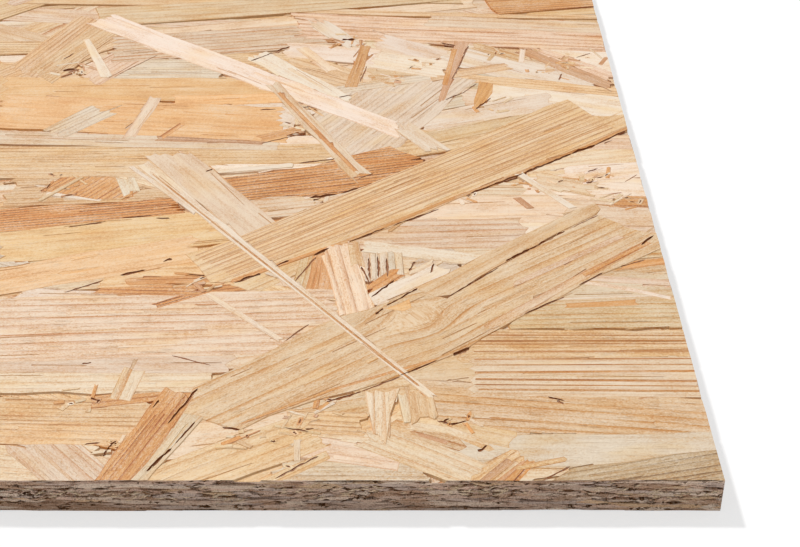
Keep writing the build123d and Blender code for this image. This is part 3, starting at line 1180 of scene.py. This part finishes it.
def torn_nest(at, chance):
    """Fibres that the saw tore instead of cutting, light ones and the gaps between them, which
    lie lower and are painted dark brown as painted shade.
    """
    made = []
    core = sheet_height * chance.uniform(0.3, 0.8)
    for _ in range(chance.integers(8, 24)):
        middle = np.array([at + chance.normal(0, 4.5), core + chance.normal(0, 0.9)])
        along = heading(chance.normal(0.08, 0.22))
        run = along * (0.3 + chance.gamma(2.0, 0.38))
        rise = left_of(along)
        half, bend = rise * chance.uniform(0.07, 0.2), rise * chance.normal(0, 0.2)
        outline = middle + np.array([-run, bend - half, run, bend + half])
        z = outline[:, 1]
        if z.min() < hole_margin or z.max() > sheet_height - hole_margin:
            continue
        dark = chance.uniform() < 0.5
        one = as_strand(outline, outline[0], along, "void", chance,
                        chance.uniform(0.15, 0.45) if dark else 0.02, edge_reach)
        one["colour"] = hole_shade_colour if dark else torn_colour
        made.append(one)
    return made


def edge_strands(length, lengthwise, near, chance):
    """All that one edge shows, from below to above: layer by layer the cut strands and then
    the holes, and last the torn nests. The place called near is drawn most finely."""
    made = []
    for layer in chance.permutation(layers):
        # The core, in the middle of the height, was laid across the sheet
        in_core = 0.30 < (layer + 0.5) / layers < 0.70
        end_grain = in_core == lengthwise
        at = -chance.uniform(0, 10)
        while at < length:
            coarse = coarser(at, near, 2.5)
            size = coarse * (chance.uniform(3, 12) if end_grain else chance.gamma(2.2, 4.5) + 3)
            count = max(2, round(size / 4 / coarse))
            made.append(cut_strand(at, size, layer, count, end_grain, chance))
            at += size * chance.uniform(0.6, 1.0)
        at = chance.uniform(0, 8)
        while at < length:
            gap = chance.choice([0.7, 3, 16], p=[0.5, 0.3, 0.2]) * coarser(at, near, 6)
            at += gap * chance.uniform(0.6, 1.5)
            made += hole(at, layer, chance)
    at = 0.0
    while at < length:
        at += chance.uniform(4, 20) * coarser(at, near, 5)
        made += torn_nest(at, chance)
    return made


def saw_edge(name, origin, along, inward, length, near):
    """One sawn edge between the rims of the top face and the underside, whose points it takes
    over, so that the skin stays closed."""
    origin, along, inward = np.array(origin, float), np.array(along), np.array(inward)
    beyond_tears = deepest_tear + 0.02
    chains = []
    for points, faces in ((under_points, under_faces), (top_points, top_faces)):
        rim = points[rim_of(faces)]
        depth = (rim[:, :2] - origin) @ inward
        place = (rim[:, :2] - origin) @ along
        chosen = (depth < beyond_tears) & (depth > -1e-4)
        for limit in (0.0, length):
            chosen &= (np.abs(place - limit) > beyond_tears) | (depth < 1e-3)
        order = np.argsort(place[chosen])
        chains.append(np.column_stack([place, rim[:, 2], depth])[chosen][order])
    bottom, top = chains
    right = np.array([bottom[-1, :2], top[-1, :2]])
    left = np.array([bottom[0, :2], top[0, :2]])
    found = edge_strands(length, abs(along[0]) > 0.5, near, edge_chance)
    flat, height, faces, label = press(found, (bottom[:, :2], right, top[:, :2], left))
    place, z = flat.T
    below = z - np.interp(place, bottom[:, 0], bottom[:, 1])
    above = np.interp(place, top[:, 0], top[:, 1]) - z
    # A hole close to a rim stays shallow, so that it doesn't break out through the next face
    room = np.minimum.reduce([below, above, place, length - place]).clip(0)
    depth = np.minimum(-height, 0.1 + 0.7 * room)
    rim = rim_of(faces)
    depth[rim] = np.where(
        below[rim] < 1e-3, np.interp(place[rim], bottom[:, 0], bottom[:, 2]),
        np.where(above[rim] < 1e-3, np.interp(place[rim], top[:, 0], top[:, 2]), 0.0),
    )
    plan = origin + flat[:, :1] * along + depth[:, None] * inward
    points = np.column_stack([plan, flat[:, 1]])
    add_pieces(name, points, faces, flat, label, found, edge_material)


def sawn_edge_material():
    """Softwood cut by a coarse saw and left rough: matt and woolly, speckled with torn fibre
    ends, with brown smears of dust and resin that blur the layers."""
    material = bpy.data.materials.new("sawn_strand_ends")
    tree = emptied(material)
    grain = node(tree, "UVMap", {}, uv_map="strand_grain")
    plain = node(tree, "Attribute", {}, out="Vector", attribute_name="strand_colour")
    place = node(tree, "NewGeometry", {}, out="Position")
    long_mm, high_mm, tuft_mm = 2.6, 0.42, 0.42
    drawn = node(tree, "VectorMath", {
        0: place, 1: (1 / (long_mm * MM), 1 / (long_mm * MM), 1 / (high_mm * MM)),
    }, operation="MULTIPLY")
    smear = node(tree, "TexNoise", {"Vector": drawn, "Scale": 1.0, "Detail": 4,
                                    "Roughness": 0.62})
    wool = node(tree, "TexNoise", {"Vector": place, "Scale": 1 / (tuft_mm * MM), "Detail": 2,
                                   "Roughness": 0.6})
    fibre = streaks(tree, grain, 2.2, 0.22, 2)
    tone = node(tree, "Math", {0: smear, 1: 2.8, 2: -1.4}, operation="MULTIPLY_ADD")
    tone = node(tree, "Math", {0: wool, 1: 3.6, 2: tone}, operation="MULTIPLY_ADD")
    tone = node(tree, "Math", {0: fibre, 1: 2.2, 2: tone}, operation="MULTIPLY_ADD")
    tone = node(tree, "Math", {0: tone, 1: -2.8}, operation="ADD")
    wood, _ = toned(tree, plain, tone, "#9E896F", "#F3DDC7", 0.6, 0.7)
    normal = node(tree, "Bump", {"Height": tone, "Strength": 1.0, "Distance": 0.16 * MM})
    shader = node(tree, "BsdfPrincipled", {"Base Color": wood, "Roughness": 0.85, "Normal": normal})
    node(tree, "OutputMaterial", {"Surface": shader})
    return material


edge_material = sawn_edge_material()
width_x, width_y = high - low
nowhere = -9999
saw_edge("front_edge", low, (1, 0), (0, 1), width_x, near=width_x)
saw_edge("right_end", (high[0], low[1]), (0, 1), (-1, 0), width_y, near=0)
saw_edge("back_edge", high, (-1, 0), (0, -1), width_x, nowhere)
saw_edge("left_end", (low[0], high[1]), (0, -1), (1, 0), width_y, nowhere)

# The floor and the light
# A plain white paper floor under the sheet, and one soft lamp high at the left behind it. The
# floor looks white to the camera and keeps a faint shadow.
floor_half = 12.0
floor_mesh = bpy.data.meshes.new("floor")
floor_mesh.from_pydata(
    [(-floor_half, -floor_half, 0), (floor_half, -floor_half, 0),
     (floor_half, floor_half, 0), (-floor_half, floor_half, 0)], [], [(0, 1, 2, 3)],
)
floor = bpy.data.objects.new("floor", floor_mesh)
bpy.context.collection.objects.link(floor)
floor_material = bpy.data.materials.new("white_paper_floor")
tree = emptied(floor_material)
paper = node(tree, "BsdfDiffuse", {"Color": (*linear("#E7E7E7"), 1)})
seen_paper = node(tree, "BsdfDiffuse", {"Color": (*linear("#ADADAD"), 1)})
glow = node(tree, "Emission", {"Color": (1, 1, 1, 1), "Strength": 0.62})
bright = node(tree, "AddShader", {0: seen_paper, 1: glow})
to_camera = node(tree, "LightPath", {}, out="Is Camera Ray")
chosen = node(tree, "MixShader", {0: to_camera, 1: paper, 2: bright})
node(tree, "OutputMaterial", {"Surface": chosen})
floor_mesh.materials.append(floor_material)

sun = bpy.data.lights.new("sun", "SUN")
sun.energy = 2.45
sun.angle = math.radians(5)
sun_object = bpy.data.objects.new("sun", sun)
sun_object.rotation_euler = (math.radians(-28), math.radians(-28), 0)
bpy.context.collection.objects.link(sun_object)

world = bpy.data.worlds.new("studio")
bpy.context.scene.world = world
tree = emptied(world)
soft_light = node(tree, "Background", {"Color": (1, 1, 1, 1), "Strength": 0.45})
white_wall = node(tree, "Background", {"Color": (1, 1, 1, 1), "Strength": 1.0})
to_camera = node(tree, "LightPath", {}, out="Is Camera Ray")
backdrop = node(tree, "MixShader", {0: to_camera, 1: soft_light, 2: white_wall})
node(tree, "OutputWorld", {"Surface": backdrop})

bpy.context.scene.view_settings.view_transform = "Standard"
